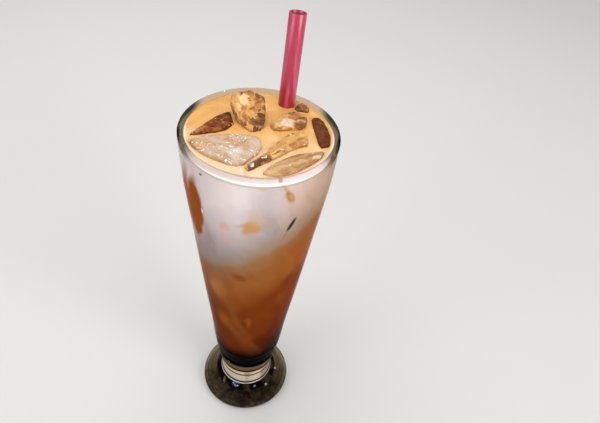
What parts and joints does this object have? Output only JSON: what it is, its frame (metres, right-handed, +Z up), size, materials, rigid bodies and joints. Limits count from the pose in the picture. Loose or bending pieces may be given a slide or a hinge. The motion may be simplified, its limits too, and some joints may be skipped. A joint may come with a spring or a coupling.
{
  "type": "iced coffee in a tall footed glass",
  "caption": "Iced milk coffee in a tall footed glass: dark coffee under milk and tan foam, with clear ice pieces at the surface and a plain straw.",
  "frame": {"origin": "centre of the foot's underside, on the glass's axis", "axes": "+Z up along the glass's axis, -Y toward the viewer of the picture, +X to the viewer's right"},
  "size_m": [0.077, 0.077, 0.2591],
  "materials": {
    "glass": "clear, smooth",
    "coffee": "liquid, dark brown",
    "milk": "liquid, milky",
    "foam": "fine foam, tan",
    "ice": "clear, wet",
    "straw": "smooth, crimson"
  },
  "bodies": {
    "root": {"glass": "glass", "coffee": "coffee", "milk": "milk", "foam": "foam", "ice_upright": "ice", "ice_left_wedge": "ice", "ice_front_left": "ice", "ice_centre_right": "ice", "ice_back_small": "ice", "ice_right": "ice", "ice_diagonal": "ice", "ice_front_right": "ice", "straw": "straw"}
  },
  "joints": []
}
